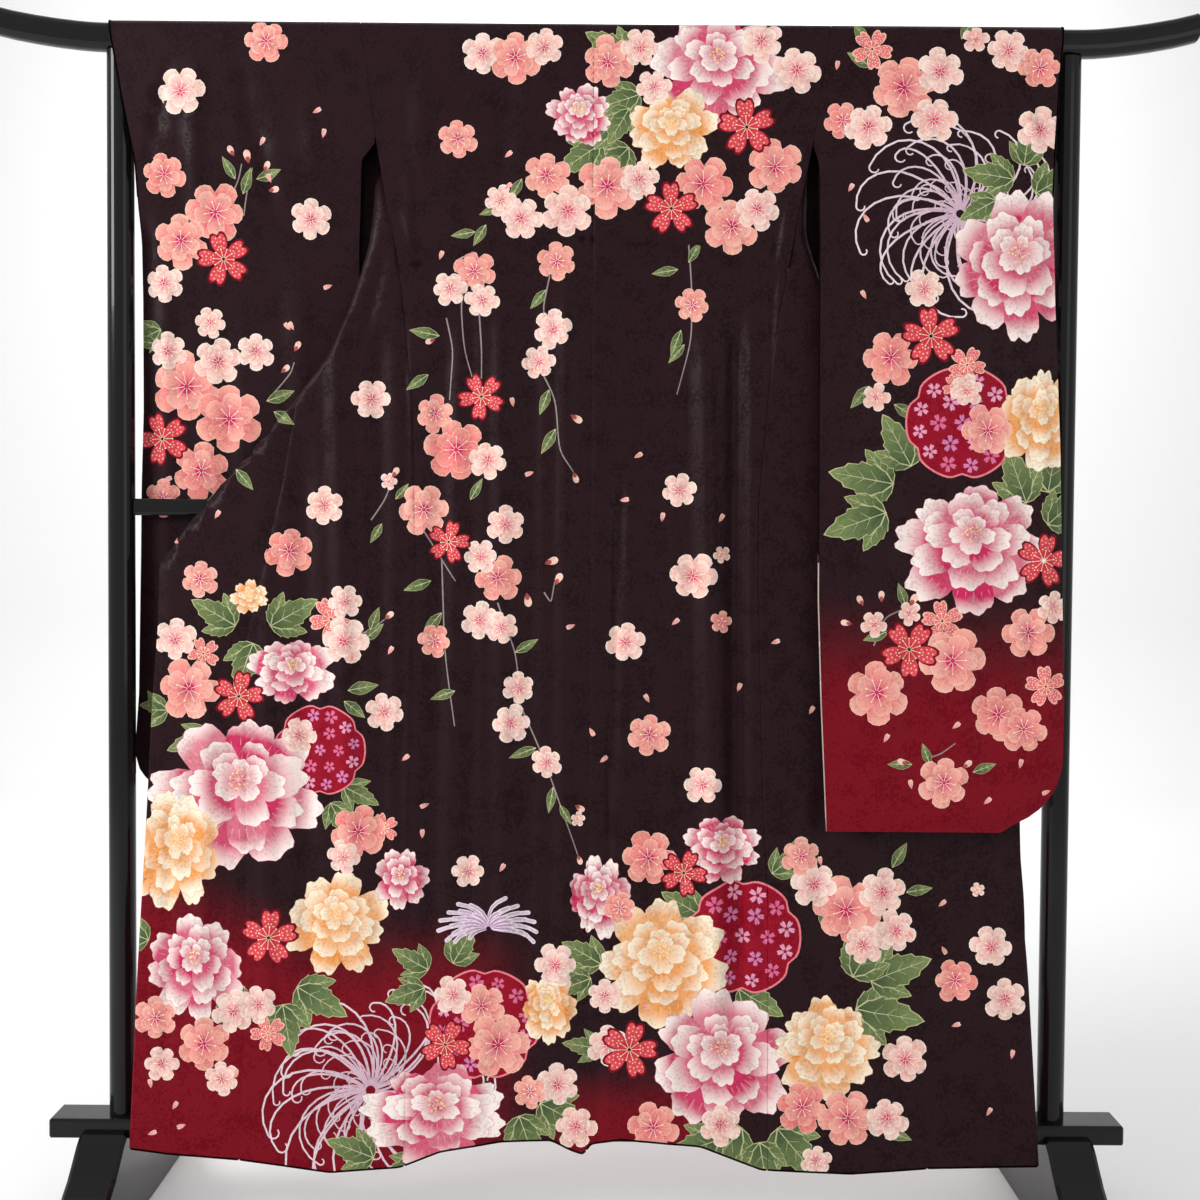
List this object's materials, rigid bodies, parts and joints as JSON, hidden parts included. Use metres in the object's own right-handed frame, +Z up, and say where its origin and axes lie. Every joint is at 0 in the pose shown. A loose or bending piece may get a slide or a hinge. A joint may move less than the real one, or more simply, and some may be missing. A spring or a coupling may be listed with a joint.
{
  "type": "furisode on a kimono stand",
  "caption": "Long-sleeved silk robe, dark with printed blossoms, hung back outward over the top rail of a black lacquered stand with two round posts, a thin mid rail, a base plank and two feet",
  "frame": {"origin": "centre of the part's footprint, on the floor", "axes": "+Z up, +X to the right of a person who looks at the robe's back, -Y toward that person"},
  "size_m": [1.71, 0.5, 1.739],
  "materials": {
    "silk": "figured silk with a soft sheen, printed",
    "lacquer": "glossy black lacquer"
  },
  "bodies": {
    "root": {"body_left": "silk", "body_right": "silk", "overlap_left": "silk", "overlap_right": "silk", "sleeve_left": "silk", "sleeve_right": "silk", "collar": "silk", "stand_top_rail": "lacquer", "stand_mid_rail": "lacquer", "stand_plank": "lacquer", "stand_post_left": "lacquer", "stand_post_right": "lacquer", "stand_foot_left": "lacquer", "stand_foot_right": "lacquer"}
  },
  "joints": []
}
